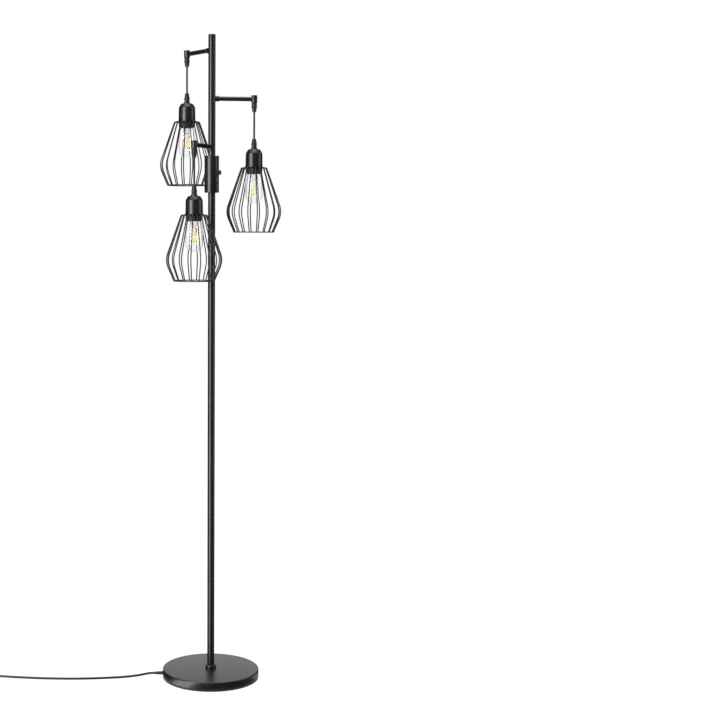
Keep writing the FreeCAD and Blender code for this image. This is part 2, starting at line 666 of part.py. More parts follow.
def biarc(p0, t0, p1, t1):
    """Two arcs that leave p0 along t0 and reach p1 along t1."""
    chord, both = p1 - p0, t0 + t1
    a, b, c = 2 * (1 - t0.dot(t1)), chord.dot(both), chord.dot(chord)
    reach = (math.sqrt(b * b + a * c) - b) / a
    q0, q1 = p0 + t0 * reach, p1 - t1 * reach
    meet = (q0 + q1) * 0.5
    arcs = []
    for start, knee, end in ((p0, q0, meet), (meet, q1, p1)):
        weight = (end - start).Length / (2 * (knee - start).Length)
        middle = (start + knee * (2 * weight) + end) * (1 / (2 + 2 * weight))
        arcs.append(Part.Arc(start, middle, end).toShape())
    return arcs


coil_edges = [Part.LineSegment(coil_start, lead_in).toShape()]
for quarter in range(COIL_QUARTERS):
    coil_edges += biarc(coil_point(quarter), coil_way_at(quarter),
                        coil_point(quarter + 1), coil_way_at(quarter + 1))
tail_start = coil_point(COIL_QUARTERS)
tail_way = coil_way_at(COIL_QUARTERS)
tail_end = tail_start + tail_way * TAIL_L
coil_edges.append(Part.LineSegment(tail_start, tail_end).toShape())
coil_half = mains_r * math.sqrt(math.pi) / 2     # a square as large as the round section
coil, coil_length = cord_along(coil_edges, coil_half, COIL_FLATS)
pieces["mains_cord_coil"] = coil
report_cord("mains_cord_coil", coil, coil_length, coil_half, COIL_FLATS)
print(f"mains cord outside the base: {mains_length + coil_length:.0f} mm in all")


def least_gap(edges, step, skip):
    """Least distance of a tube's surface from itself, on points along its centre line."""
    path = Part.Wire(edges)
    points = path.discretize(Number=int(path.Length / step))
    apart = int(skip / step)
    least = min((a - b).Length for i, a in enumerate(points) for b in points[i + apart:])
    return least - 2 * coil_half


print(f"least gap of the coil to itself: {least_gap(coil_edges, 3.0, 40.0):.2f} mm")

# ---------------------------------------------------------------- plug

# Flat two-blade plug at the tail's end, lying on the floor. Drawn along +X from its rear.
PLUG_W, PLUG_L, PLUG_RELIEF = 25.0, 36.0, 16.0
plug_h = 2 * tail_end.z
BLADE_W, BLADE_T, BLADE_L, BLADE_APART = 6.35, 1.5, 17.0, 12.7


def plug_section(x, wide, high):
    """Corners of a flat octagon square to X."""
    y, z, cut = wide / 2, high / 2, min(wide, high) / 5
    corners = [(y, z - cut), (y - cut, z), (cut - y, z), (-y, z - cut), (-y, cut - z),
               (cut - y, -z), (y - cut, -z), (y, cut - z)]
    return [V(x, *corner_at) for corner_at in corners]


relief_r = mains_r + 1.8
sections = [plug_section(0, 2 * mains_r + 1, 2 * mains_r + 1),
            plug_section(PLUG_RELIEF, 2 * relief_r, 2 * relief_r),
            plug_section(PLUG_RELIEF + 9, PLUG_W, plug_h),
            plug_section(PLUG_RELIEF + PLUG_L - 5, PLUG_W, plug_h),
            plug_section(PLUG_RELIEF + PLUG_L, PLUG_W - 2, plug_h - 2)]
plug_body = skinned(sections)
plug_face = PLUG_RELIEF + PLUG_L
blades = []
for side in (-1, 1):
    blade = Part.makeBox(BLADE_L, BLADE_T, BLADE_W,
                         V(plug_face, side * BLADE_APART / 2 - BLADE_T / 2, -BLADE_W / 2))
    hole = rod(GRIP_FLATS, 1.6, -5, 5)
    hole.rotate(ORIGIN, V(1, 0, 0), 90)
    hole.translate(V(plug_face + BLADE_L - 4, side * BLADE_APART / 2, 0))
    blades.append(blade.cut(hole))
laid = FreeCAD.Placement(tail_end, FreeCAD.Rotation(V(1, 0, 0), tail_way))
for name, shape in (("plug_body", plug_body), ("plug_blades", group(*blades))):
    shape.Placement = laid
    pieces[name] = shape

# ---------------------------------------------------------------- write the pieces

os.makedirs("parts", exist_ok=True)
for name, shape in pieces.items():
    shape.exportStep(f"parts/{name}.step")
print(len(pieces), "pieces")
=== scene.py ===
"""Looks of a floor lamp with three wire cage shades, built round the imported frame.

Metres, +Z up, in the frame's own place. Outlines are given in millimetres.
"""

import math

import bmesh
import bpy
from mathutils import Matrix, Vector


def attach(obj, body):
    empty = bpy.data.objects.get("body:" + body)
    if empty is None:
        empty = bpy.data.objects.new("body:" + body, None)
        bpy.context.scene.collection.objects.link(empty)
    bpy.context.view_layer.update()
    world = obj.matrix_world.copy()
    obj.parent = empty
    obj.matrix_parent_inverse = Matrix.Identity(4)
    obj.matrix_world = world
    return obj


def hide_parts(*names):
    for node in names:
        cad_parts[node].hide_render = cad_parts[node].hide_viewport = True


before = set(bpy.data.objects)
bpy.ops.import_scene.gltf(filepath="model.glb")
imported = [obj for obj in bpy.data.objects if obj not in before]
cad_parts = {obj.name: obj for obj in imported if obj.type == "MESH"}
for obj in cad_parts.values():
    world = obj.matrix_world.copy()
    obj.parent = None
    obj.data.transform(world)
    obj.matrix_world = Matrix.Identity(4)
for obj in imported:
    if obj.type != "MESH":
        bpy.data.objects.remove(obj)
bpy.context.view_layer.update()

# ------------------------------------------------------------------ weight and felt pad
# A raw iron casting gives the base its weight. A felt disc glued under it keeps the floor
# from scratches, and a threaded rod with a washer and a nut clamps it to the pole.

MM = 0.001


class Value:
    """A number on a node's socket; an expression on it adds the nodes that work it out."""

    def __init__(self, nodes, socket):
        self.nodes, self.socket = nodes, socket

    def maths(self, operation, *values):
        return self.nodes.node("ShaderNodeMath", {"operation": operation},
                               dict(enumerate(values)))

    def __add__(self, other):
        return self.maths("ADD", self, other)

    def __radd__(self, other):
        return self.maths("ADD", other, self)

    def __sub__(self, other):
        return self.maths("SUBTRACT", self, other)

    def __rsub__(self, other):
        return self.maths("SUBTRACT", other, self)

    def __mul__(self, other):
        return self.maths("MULTIPLY", self, other)

    def __rmul__(self, other):
        return self.maths("MULTIPLY", other, self)

    def __truediv__(self, other):
        return self.maths("DIVIDE", self, other)


class Nodes:
    """A node tree whose nodes all come from one method."""

    def __init__(self, tree):
        self.tree = tree

    def node(self, kind, settings=None, sockets=None, output=0):
        made = self.tree.nodes.new(kind)
        for key, value in (settings or {}).items():
            if key == "stops":
                for element, (at, grey) in zip(made.color_ramp.elements, value):
                    element.position, element.color = at, (grey, grey, grey, 1)
            else:
                setattr(made, key, value)
        for key, value in (sockets or {}).items():
            self.feed(made.inputs[key], value)
        return Value(self, made.outputs[output])

    def feed(self, socket, value):
        if isinstance(value, Value):
            self.tree.links.new(value.socket, socket)
        else:
            socket.default_value = value


class Finish(Nodes):
    """A surface finish: its constants sit on the shader, and what varies is linked."""

    def __init__(self, name, **constants):
        self.material = bpy.data.materials.new(name)
        self.material.use_nodes = True
        super().__init__(self.material.node_tree)
        self.shader = self.tree.nodes["Principled BSDF"]
        for key, value in constants.items():
            self.shader.inputs[key.replace("_", " ")].default_value = value

    def noise(self, grain, detail=2.0, stretch=(1, 1, 1)):
        """Noise from 0 to 1 whose grain is a size in metres, stretched along the axes."""
        place = self.node("ShaderNodeTexCoord", output="Object")
        spread = self.node("ShaderNodeMapping", None, {"Vector": place, "Scale": stretch})
        return self.node("ShaderNodeTexNoise", None,
                         {"Vector": spread, "Scale": 1 / grain, "Detail": detail})

    def shade(self, factor, dark, light):
        """Base colour that goes from dark to light with factor."""
        mixed = self.node("ShaderNodeMix", {"data_type": "RGBA"},
                          {0: factor, 6: (*dark, 1), 7: (*light, 1)}, output=2)
        self.feed(self.shader.inputs["Base Color"], mixed)

    def rough(self, value):
        self.feed(self.shader.inputs["Roughness"], value)

    def bump(self, height, depth, strength=1.0):
        """Relief of so many metres."""
        made = self.node("ShaderNodeBump", None,
                         {"Strength": strength, "Distance": depth, "Height": height}, "Normal")
        self.feed(self.shader.inputs["Normal"], made)


def outlined(corners, steps=6):
    """Points of an outline in millimetres; a corner's third number is its rounding."""
    points = []
    for k, (r, z, *rounding) in enumerate(corners):
        here = Vector((r, z))
        if not rounding:
            points.append(here)
            continue
        back = (Vector(corners[k - 1][:2]) - here).normalized()
        ahead = (Vector(corners[(k + 1) % len(corners)][:2]) - here).normalized()
        half = back.angle(ahead) / 2
        middle = here + (back + ahead).normalized() * (rounding[0] / math.sin(half))
        start = here + back * (rounding[0] / math.tan(half)) - middle
        end = here + ahead * (rounding[0] / math.tan(half)) - middle
        first = math.atan2(start.y, start.x)
        swing = (math.atan2(end.y, end.x) - first + math.pi) % (2 * math.pi) - math.pi
        for step in range(steps + 1):
            angle = first + swing * step / steps
            points.append(middle + Vector((math.cos(angle), math.sin(angle))) * rounding[0])
    return points


SHARP_FROM = math.radians(32)


def piece(name, made, finish, place=Matrix.Identity(4)):
    """Object with the faces made, smooth but for its edges, put in place in its mesh."""
    bmesh.ops.recalc_face_normals(made, faces=made.faces)
    mesh = bpy.data.meshes.new(name)
    made.to_mesh(mesh)
    made.free()
    mesh.transform(place)
    mesh.shade_smooth()
    mesh.set_sharp_from_angle(angle=SHARP_FROM)
    mesh.materials.append(finish.material)
    shown = bpy.data.objects.new(name, mesh)
    bpy.context.scene.collection.objects.link(shown)
    return shown


def turned(name, corners, finish, place=Matrix.Identity(4), segments=72):
    """Piece turned on a lathe: an outline of (r, z) corners, closed where it leaves the axis."""
    points = outlined(corners)
    made = bmesh.new()
    rings = []
    for r, z in points:
        ring = []
        for k in range(segments if r > 0 else 1):
            angle = 2 * math.pi * k / segments
            ring.append(made.verts.new((r * MM * math.cos(angle), r * MM * math.sin(angle),
                                        z * MM)))
        rings.append(ring)
    if corners[0][0] > 0:
        rings.append(rings[0])
    for low, high in zip(rings, rings[1:]):
        for k in range(segments if len(low) + len(high) > 2 else 0):
            around = [low[k % len(low)], low[(k + 1) % len(low)],
                      high[(k + 1) % len(high)], high[k % len(high)]]
            made.faces.new(list(dict.fromkeys(around)))
    return piece(name, made, finish, place)


def stands_for(shown, body, slot, *nodes):
    """A shown piece takes the place of CAD nodes on their body."""
    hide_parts(*nodes)
    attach(shown, body)
    return shown


def dress(finish, *nodes):
    """CAD nodes that keep their own shape take a finish."""
    for node in nodes:
        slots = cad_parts[node].data.materials
        slots.clear()
        slots.append(finish.material)


casting = Finish("raw_casting", Metallic=0.6)
casting.shade(casting.noise(0.012, 4), (0.05, 0.048, 0.046), (0.11, 0.1, 0.095))
casting.rough(0.62 + 0.2 * casting.noise(0.004, 3))
casting.bump(casting.noise(0.0025, 4), 0.0006)
dress(casting, "base_weight")

zinc = Finish("bright_zinc", Metallic=1.0)
zinc.shade(zinc.noise(0.008, 3), (0.5, 0.5, 0.51), (0.68, 0.67, 0.64))
zinc.rough(0.24 + 0.2 * zinc.noise(0.003, 3))
zinc.bump(zinc.noise(0.0004), 0.00003)
dress(zinc, "base_fasteners", "pole_couplers")

felt = Finish("black_felt", Sheen_Weight=0.5, Sheen_Roughness=0.6)
felt.shade(felt.noise(0.0015, 5), (0.008, 0.008, 0.008), (0.04, 0.04, 0.04))
felt.rough(0.9 + 0.1 * felt.noise(0.001))
felt.bump(felt.noise(0.0007, 6), 0.0005)
FELT_R, FELT_H = 125.5, 1.5
pad = turned("felt_pad", [(0, 0), (FELT_R, 0, 0.5), (FELT_R, FELT_H, 0.3), (0, FELT_H)], felt,
             segments=144)
stands_for(pad, "stand", "felt", "base_felt_pad")

# ------------------------------------------------------------------ base cover
# A disc spun from steel sheet drops over the weight. Its upper edge is softened, its lower
# edge is turned under, and it is powder coated satin black like all of the lamp's metal.

BASE_R, BASE_H, SHEET, ROD_HOLE_R = 128.5, 25.0, 1.2, 5.4


def powder(name, painted_reflection_tint):
    """Satin black powder coat: a fine orange peel under a slightly uneven gloss, its reflections tinted by
    painted_reflection_tint, a painted tint of the light round it.
    """
    coat = Finish(name, IOR=1.5, Specular_Tint=(*painted_reflection_tint, 1))
    coat.shade(coat.noise(0.03, 4), (0.005, 0.0048, 0.0046), (0.0095, 0.0091, 0.0087))
    coat.rough(0.3 + 0.09 * coat.noise(0.02, 5))
    coat.bump(coat.noise(0.0013, 2), 0.00001, 0.6)
    return coat


coat = powder("satin_black_coat", (1.0, 1.0, 1.0))
# The base's coat tints its reflections warm: a painted warm reflection of the room's light.
base_coat = powder("satin_black_base", (1.0, 0.955, 0.9))
cover = turned("base_cover_spun",
               [(BASE_R - SHEET, 1.0, 0.3), (BASE_R, 1.0, 0.8), (BASE_R, BASE_H, 2.5),
                (ROD_HOLE_R, BASE_H), (ROD_HOLE_R, BASE_H - SHEET), (BASE_R - SHEET, BASE_H - SHEET, 1.3)],
               base_coat, segments=192)
stands_for(cover, "stand", "black_powder", "base_cover")

# ------------------------------------------------------------------ mains cord
# A round black sheath comes out of a ribbed strain relief in the base's rim and lies on the
# floor. What is left of its length is wound up just out of sight and ends in a plug.

CORD_R = 0.003
NOSE_L, FIRST_STRAIGHT = 22.0, 14
EXIT_TURN, EXIT_Z, NOSE_END = math.radians(174.5), 0.011, BASE_R + NOSE_L
exit_way = Vector((math.cos(EXIT_TURN), math.sin(EXIT_TURN), 0))
lift = Vector((0, 0, EXIT_Z))
route = [exit_way * NOSE_END * MM + lift, exit_way * (NOSE_END + FIRST_STRAIGHT) * MM + lift,
         Vector((-0.187, 0.0146, 0.0068)), Vector((-0.226, 0.0122, 0.0035)),
         Vector((-0.275, 0.0106, CORD_R)), Vector((-0.332, 0.0102, CORD_R)),
         Vector((-0.392, 0.0154, CORD_R)), Vector((-0.453, 0.026, CORD_R)),
         Vector((-0.514, 0.0406, CORD_R)), Vector((-0.576, 0.06, CORD_R)),
         Vector((-0.636, 0.082, CORD_R))]

COIL_QUARTERS, CLIMB_FROM, PER_QUARTER = 17, 13, 4
COIL_R, COIL_PITCH, COIL_TAIL = 0.046, 0.0065, 0.042
way = (route[-1] - route[-2]).normalized()
inward = Vector((way.y, -way.x, 0))
lead_in = route[-1] + way * 2 * CORD_R
coil_centre = lead_in + inward * COIL_R
pull_out = 4 / (3 + math.cos(math.pi / 2 / PER_QUARTER))     # a spline runs inside its points


def coil_spoke(quarter):
    """From the coil's middle to its cord after so many quarter turns."""
    radius = COIL_R - COIL_PITCH * (CLIMB_FROM + 0.5 - abs(quarter - CLIMB_FROM - 0.5)) / 4
    climb = min(max(quarter - CLIMB_FROM, 0), 1)
    level = Matrix.Rotation(-math.pi / 2 * quarter, 3, "Z") @ (inward * -radius)
    return level + Vector((0, 0, COIL_PITCH * climb))


for step in range(1, COIL_QUARTERS * PER_QUARTER):
    spoke = coil_spoke(step / PER_QUARTER)
    route.append(coil_centre + Vector((spoke.x * pull_out, spoke.y * pull_out, spoke.z)))
tail_start = coil_centre + coil_spoke(COIL_QUARTERS)
tail_way = Matrix.Rotation(-math.pi / 2 * COIL_QUARTERS, 3, "Z") @ way
tail_end = tail_start + tail_way * COIL_TAIL
route += [tail_start.lerp(tail_end, share) for share in (0.0, 0.33, 0.67, 1.0)]


def cord_curve(name, points, radius, finish):
    """Round cord along one smooth line with these control points."""
    curve = bpy.data.curves.new(name, "CURVE")
    curve.dimensions = "3D"
    curve.bevel_depth = radius
    curve.bevel_resolution = 4
    curve.resolution_u = 4
    curve.use_fill_caps = True
    spline = curve.splines.new("NURBS")
    spline.points.add(len(points) - 1)
    for at, point in zip(spline.points, points):
        at.co = (*point, 1)
    spline.order_u = 3
    spline.use_endpoint_u = True
    curve.materials.append(finish.material)
    shown = bpy.data.objects.new(name, curve)
    bpy.context.scene.collection.objects.link(shown)
    return shown


sheath = Finish("cord_sheath", IOR=1.5)
sheath.shade(sheath.noise(0.02, 3), (0.005, 0.005, 0.005), (0.011, 0.011, 0.011))
sheath.rough(0.42 + 0.15 * sheath.noise(0.004, 4))
sheath.bump(sheath.noise(0.0015, 3), 0.00002, 0.5)
lead = cord_curve("mains_lead", route, CORD_R, sheath)

# ------------------------------------------------------------------ strain relief and plug
# Both are moulded on the cord in black rubber. The strain relief is a tapered nose of rings;
# the plug is a flat body with a ribbed tail and two brass blades.

rubber = Finish("moulded_rubber", IOR=1.5)
rubber.shade(rubber.noise(0.01, 3), (0.01, 0.01, 0.01), (0.02, 0.02, 0.02))
rubber.rough(0.5 + 0.15 * rubber.noise(0.003, 4))
rubber.bump(rubber.noise(0.0005, 3), 0.00005, 0.6)

along_x = Matrix.Rotation(math.radians(90), 4, "Y")
out_of_base = (Matrix.Translation(lift) @ Matrix.Rotation(EXIT_TURN, 4, "Z") @ along_x)
NOSE_FROM, NOSE_TO, NOSE_RINGS = BASE_R + 2.0, NOSE_END - 1.0, 6
nose = [(0, BASE_R - 6.0), (5.0, BASE_R - 6.0, 0.4), (5.0, BASE_R - 1.6), (4.2, BASE_R - 1.6),
        (4.2, BASE_R + 0.3), (5.0, BASE_R + 0.3, 0.3), (5.0, NOSE_FROM, 0.4)]
ring_step = (NOSE_TO - NOSE_FROM) / NOSE_RINGS
for ring in range(NOSE_RINGS):
    x = NOSE_FROM + ring_step * ring
    top = 4.9 - 1.3 * (ring + 0.5) / NOSE_RINGS
    nose += [(top - 0.55, x, 0.15), (top - 0.55, x + 0.3 * ring_step, 0.15),
             (top, x + 0.3 * ring_step, 0.25), (top, x + ring_step, 0.25)]
nose += [(3.4, NOSE_TO, 0.15), (3.4, NOSE_END, 0.3), (0, NOSE_END)]
relief = turned("strain_relief", nose, rubber, out_of_base, 48)
stands_for(relief, "stand", "black_rubber", "cord_bushing")


def bridge(made, rings):
    """Faces between closed rings with the same number of points."""
    for low, high in zip(rings, rings[1:]):
        for k in range(len(low)):
            made.faces.new([low[k - 1], low[k], high[k], high[k - 1]])


def lofted(name, sections, finish, place):
    """Skin through rounded rectangles square to X: (x, width, height, corner rounding)."""
    made = bmesh.new()
    rings = []
    for x, wide, high, rounding in sections:
        corners = [(wide / 2, high / 2, rounding), (-wide / 2, high / 2, rounding),
                   (-wide / 2, -high / 2, rounding), (wide / 2, -high / 2, rounding)]
        rings.append([made.verts.new((x * MM, y * MM, z * MM)) for y, z in outlined(corners, 5)])
    bridge(made, rings)
    for end in (rings[0], rings[-1]):
        made.faces.new(end)
    return piece(name, made, finish, place)


PLUG_W, PLUG_H, PLUG_TAIL, PLUG_END = 25.0, 19.0, 16.0, 52.0
TAIL_RIBS = 5
rib_w = (PLUG_TAIL - 1.4) / TAIL_RIBS
plug_skin = [(0, 6.6, 6.6, 3.2)]
for rib in range(TAIL_RIBS):
    x = 0.6 + rib * (PLUG_TAIL - 1.4) / TAIL_RIBS
    size = 7.0 + 2.4 * rib / TAIL_RIBS
    for share, grow in ((0.0, 0), (0.08, 0.9), (0.55, 0.9), (0.63, 0)):
        plug_skin.append((x + share * rib_w, size + grow, size + grow, (size + grow) * 0.47))
plug_skin += [(PLUG_TAIL, 10.5, 10.0, 4.0), (PLUG_TAIL + 3, 15.5, 13.0, 4.5),
              (PLUG_TAIL + 7, 22.5, 17.5, 4.5), (PLUG_TAIL + 11, PLUG_W, PLUG_H, 4.5),
              (PLUG_END - 8, PLUG_W, PLUG_H, 4.5), (PLUG_END - 7.4, PLUG_W - 1.0, PLUG_H - 1.0, 4.0),
              (PLUG_END - 6.4, PLUG_W - 1.0, PLUG_H - 1.0, 4.0), (PLUG_END - 5.8, PLUG_W, PLUG_H, 4.5),
              (PLUG_END - 2.0, PLUG_W, PLUG_H, 4.5), (PLUG_END - 0.6, PLUG_W - 1.2, PLUG_H - 1.2, 4.0),
              (PLUG_END, PLUG_W - 3.0, PLUG_H - 3.0, 3.2)]
plug_place = (Matrix.Translation(tail_end)
              @ Matrix.Rotation(math.atan2(tail_way.y, tail_way.x), 4, "Z"))
plug = lofted("plug_moulding", plug_skin, rubber, plug_place)
stands_for(plug, "stand", "black_rubber", "plug_body")

brass = Finish("plug_brass", Metallic=1.0)
brass.shade(brass.noise(0.006, 3), (0.68, 0.5, 0.2), (0.8, 0.62, 0.3))
brass.rough(0.22 + 0.15 * brass.noise(0.002, 3, (1, 1, 6)))
dress(brass, "plug_blades")

stands_for(lead, "stand", "cord_rubber", "mains_cord", "mains_cord_coil")

# ------------------------------------------------------------------ pole
# Three lengths of steel tube screw together on inserts. A low collar covers the joint with
# the base, and a crowned plug closes the top.

POLE_R, BORE_R, POLE_H = 9.5, 8.3, 1700.0
JOIN_Z, SWITCH_LOW, SWITCH_TOP = 662.0, 1294.0, 1389.0
LOW_CAP_SEAT, LOW_CAP_IN = SWITCH_LOW + 4.8, SWITCH_LOW + 12.3
TOP_CAP_SEAT, TOP_CAP_IN = SWITCH_TOP - 1.5, SWITCH_TOP - 9.0
TUBE_TOP, CROWN_LOW = POLE_H - 2, POLE_H - 11
COLLAR_R, COLLAR_TOP = 14.5, BASE_H + 9
collar = turned("foot_collar", [(POLE_R, BASE_H), (COLLAR_R, BASE_H, 0.3),
                                (COLLAR_R, COLLAR_TOP, 2.5), (POLE_R, COLLAR_TOP)], coat, segments=72)
stands_for(collar, "stand", "black_powder", "pole_foot_collar")


def pole_tube(name, node, low, top):
    """Length of tube whose two rims are slightly broken, so that a joint shows as a line."""
    made = turned(name, [(BORE_R, low), (POLE_R, low, 0.35), (POLE_R, top, 0.35), (BORE_R, top)],
                  coat, segments=72)
    return stands_for(made, "stand", "black_powder", node)


pole_tube("tube_low", "pole_lower", BASE_H, JOIN_Z)
pole_tube("tube_mid", "pole_middle", JOIN_Z, LOW_CAP_IN)
pole_tube("tube_top", "pole_upper", TOP_CAP_IN, TUBE_TOP)
crown = turned("pole_plug", [(0, CROWN_LOW), (BORE_R, CROWN_LOW), (BORE_R, TUBE_TOP),
                             (POLE_R, TUBE_TOP, 0.2), (POLE_R - 0.15, POLE_H - 0.5, 0.6),
                             (POLE_R - 2.5, POLE_H, 3.0), (0, POLE_H)], coat)
stands_for(crown, "stand", "black_powder", "pole_cap")

# ------------------------------------------------------------------ dimmer
# A wider tube round the pole, closed by two end caps, holds the dimmer. Its shaft comes out
# of a threaded bush with a ring nut and carries a small round knob.

KNOB_TURN, KNOB_Z = math.radians(-60.0), 1345.0
SWITCH_R, SWITCH_BORE = 19.0, 17.6
housing = turned("dimmer_tube", [(SWITCH_BORE, LOW_CAP_SEAT), (SWITCH_R, LOW_CAP_SEAT, 0.2),
                                 (SWITCH_R, TOP_CAP_SEAT, 0.2), (SWITCH_BORE, TOP_CAP_SEAT)],
                 coat, segments=96)
stands_for(housing, "stand", "black_powder", "switch_housing")


def merged(name, finish, parts):
    """One piece out of several."""
    made = bmesh.new()
    for part in parts:
        made.from_mesh(part.data)
        bpy.data.objects.remove(part)
    return piece(name, made, finish)


end_caps = [turned("end_cap", [(POLE_R, outer), (SWITCH_R, outer, 1.0), (SWITCH_R, seat, 0.2),
                               (SWITCH_BORE, seat), (SWITCH_BORE, inner), (POLE_R, inner)],
                   coat, segments=96)
            for outer, seat, inner in ((SWITCH_LOW, LOW_CAP_SEAT, LOW_CAP_IN),
                                       (SWITCH_TOP, TOP_CAP_SEAT, TOP_CAP_IN))]
caps = merged("dimmer_end_caps", coat, end_caps)
stands_for(caps, "stand", "black_powder", "switch_end_caps")

plastic = Finish("black_moulding", IOR=1.46)
plastic.shade(plastic.noise(0.02, 3), (0.006, 0.006, 0.006), (0.012, 0.012, 0.012))
plastic.rough(0.46 + 0.12 * plastic.noise(0.006, 4))
plastic.bump(plastic.noise(0.0006, 2), 0.00001, 0.6)
dress(plastic, "dimmer_module")
dress(zinc, "dimmer_shaft")

out_of_housing = (Matrix.Translation((0, 0, KNOB_Z * MM)) @ Matrix.Rotation(KNOB_TURN, 4, "Z")
                  @ along_x)
nut = turned("ring_nut", [(3.5, SWITCH_R), (5.25, SWITCH_R, 0.2), (5.25, SWITCH_R + 2.2, 0.5),
                          (3.5, SWITCH_R + 2.2)], plastic, out_of_housing, 48)
stands_for(nut, "stand", "black_plastic", "dimmer_nut")
KNOB_FACE, KNOB_BACK, KNOB_R = SWITCH_R + 16.0, SWITCH_R + 5.5, 6.0
knob = turned("knob", [(2.0, SWITCH_R + 3.4), (3.3, SWITCH_R + 3.4, 0.2), (3.3, KNOB_BACK),
                       (KNOB_R, KNOB_BACK, 0.5), (KNOB_R, KNOB_FACE, 0.9), (4.2, KNOB_FACE, 0.3),
                       (3.9, KNOB_FACE - 0.35, 0.3), (0, KNOB_FACE - 0.35), (0, KNOB_FACE - 2.5),
                       (2.0, KNOB_FACE - 2.5)],
              plastic, out_of_housing, 64)
stands_for(knob, "knob", "black_plastic", "dimmer_knob")

# ------------------------------------------------------------------ arms
# Each arm is a short tube through the pole's wall, with a collar that hides the hole and a
# drilled elbow at its end.

ARM_Z = (1660.0, 1536.0, 1412.0)
ARM_TURN = (120.0, 0.0, 240.0)
ARM_REACH, ARM_R, ELBOW_R, ELBOW_H = 111.0, 5.75, 8.0, 20.0
ARM_BORE, ARM_FROM, ARM_END = 4.55, 8.0, 107.3
ARM_COLLAR_R, GROOVE_R, ARM_COLLAR_FROM, ARM_COLLAR_END = 7.3, 6.6, 7.6, 18.5
NUMBERS = (1, 2, 3)
arm_place, hung = {}, {}
for number, z, turn in zip(NUMBERS, ARM_Z, ARM_TURN):
    level = Matrix.Translation((0, 0, z * MM)) @ Matrix.Rotation(math.radians(turn), 4, "Z")
    arm_place[number] = level @ along_x
    hung[number] = level @ Matrix.Translation((ARM_REACH * MM, 0, 0))

collars = []
for number in NUMBERS:
    tube = turned(f"arm_{number}", [(ARM_BORE, ARM_FROM), (ARM_R, ARM_FROM), (ARM_R, ARM_END),
                                    (ARM_BORE, ARM_END)], coat, arm_place[number], 40)
    stands_for(tube, "stand", "black_powder", f"arm_tube_{number}")
    elbow = turned(f"elbow_{number}", [(0, -ELBOW_H / 2), (ELBOW_R, -ELBOW_H / 2, 0.4),
                                       (ELBOW_R, ELBOW_H / 2, 1.2), (0, ELBOW_H / 2)], coat,
                   hung[number], 64)
    stands_for(elbow, "stand", "black_powder", f"arm_elbow_{number}")
    collars.append(turned("arm_collar", [
        (ARM_R, ARM_COLLAR_FROM), (ARM_COLLAR_R, ARM_COLLAR_FROM), (ARM_COLLAR_R, 15.0, 0.2),
        (GROOVE_R, 15.4, 0.2), (GROOVE_R, 16.0, 0.2), (ARM_COLLAR_R, 16.4, 0.2),
        (ARM_COLLAR_R, ARM_COLLAR_END, 0.7), (ARM_R, ARM_COLLAR_END)],
        coat, arm_place[number], 48))
stands_for(merged("arm_collars_turned", coat, collars), "stand", "black_powder", "arm_collars")

# ------------------------------------------------------------------ cord grips
# A grip is a moulded body with a flange and a conical nut that squeezes the cord. One is
# screwed into each elbow and one into the top of each shade.

GRIP_L, FLANGE_AT, FLANGE_END = 23.0, 9.3, 11.2
BORE, STEM_UP, LONG_STEM = 2.8, 4.0, 7.0
CORD_SEEN = 69.0
body_outline = [(BORE, STEM_UP), (3.9, STEM_UP, 0.3), (3.9, 0), (6.5, 0, 0.4), (7.3, -FLANGE_AT, 0.4),
                (7.75, -FLANGE_AT, 0.3), (7.75, -FLANGE_END, 0.3), (BORE, -FLANGE_END)]
nut_outline = [(BORE, -FLANGE_END), (6.3, -FLANGE_END, 0.3), (6.2, -FLANGE_END - 4.0, 1.0),
               (5.1, -GRIP_L, 0.6), (3.9, -GRIP_L, 0.4), (BORE, 1.4 - GRIP_L)]
FLIP = Matrix.Rotation(math.pi, 4, "X")
SEAT = -ELBOW_H / 2 - 2 * GRIP_L - CORD_SEEN


def lowered(z):
    return Matrix.Translation((0, 0, z * MM))


for name, outline, node in (("grip_bodies", body_outline, "elbow_grip_bodies"),
                            ("grip_nuts", nut_outline, "elbow_grip_nuts")):
    parts = [turned(name, outline, plastic, hung[number] @ lowered(-ELBOW_H / 2), 48)
             for number in NUMBERS]
    stands_for(merged(name, plastic, parts), "stand", "black_plastic", node)
for number in NUMBERS:
    place = hung[number] @ lowered(SEAT) @ FLIP
    low_body = [(r, LONG_STEM if z == STEM_UP else z, *rest) for r, z, *rest in body_outline]
    parts = [turned("grip", outline, plastic, place, 48) for outline in (low_body, nut_outline)]
    grip = merged(f"shade_grip_{number}", plastic, parts)
    stands_for(grip, f"pendant_{number}", "black_plastic", f"cord_grip_{number}")

# ------------------------------------------------------------------ pendant cords
# A shade hangs on a short round cord between its two grips, taut under the shade's weight.

PENDANT_R, CORD_IN_GRIP = 0.0025, 2.0
cord_top = -ELBOW_H / 2 - GRIP_L + CORD_IN_GRIP
cord_low = -ELBOW_H / 2 - GRIP_L - CORD_SEEN - CORD_IN_GRIP
dark_sheath = Finish("pendant_sheath", IOR=1.5)
dark_sheath.shade(dark_sheath.noise(0.03, 3), (0.009, 0.009, 0.009), (0.014, 0.014, 0.014))
dark_sheath.rough(0.45 + 0.15 * dark_sheath.noise(0.004, 4))
dark_sheath.bump(dark_sheath.noise(0.0012, 3), 0.00002, 0.5)
for number in NUMBERS:
    line = [hung[number] @ Vector((0, 0, (cord_top + (cord_low - cord_top) * share) * MM))
            for share in (0, 0.25, 0.5, 0.75, 1)]
    drop = cord_curve(f"drop_cord_{number}", line, PENDANT_R, dark_sheath)
    stands_for(drop, f"cord_{number}", "pendant_cord", f"pendant_cord_{number}")

# ------------------------------------------------------------------ cup and lampholder
# The cup is spun steel: a neck for the grip, a shoulder and a nearly straight skirt. The
# lampholder in it is moulded, with a nickel screw shell, and reaches out below the cup.

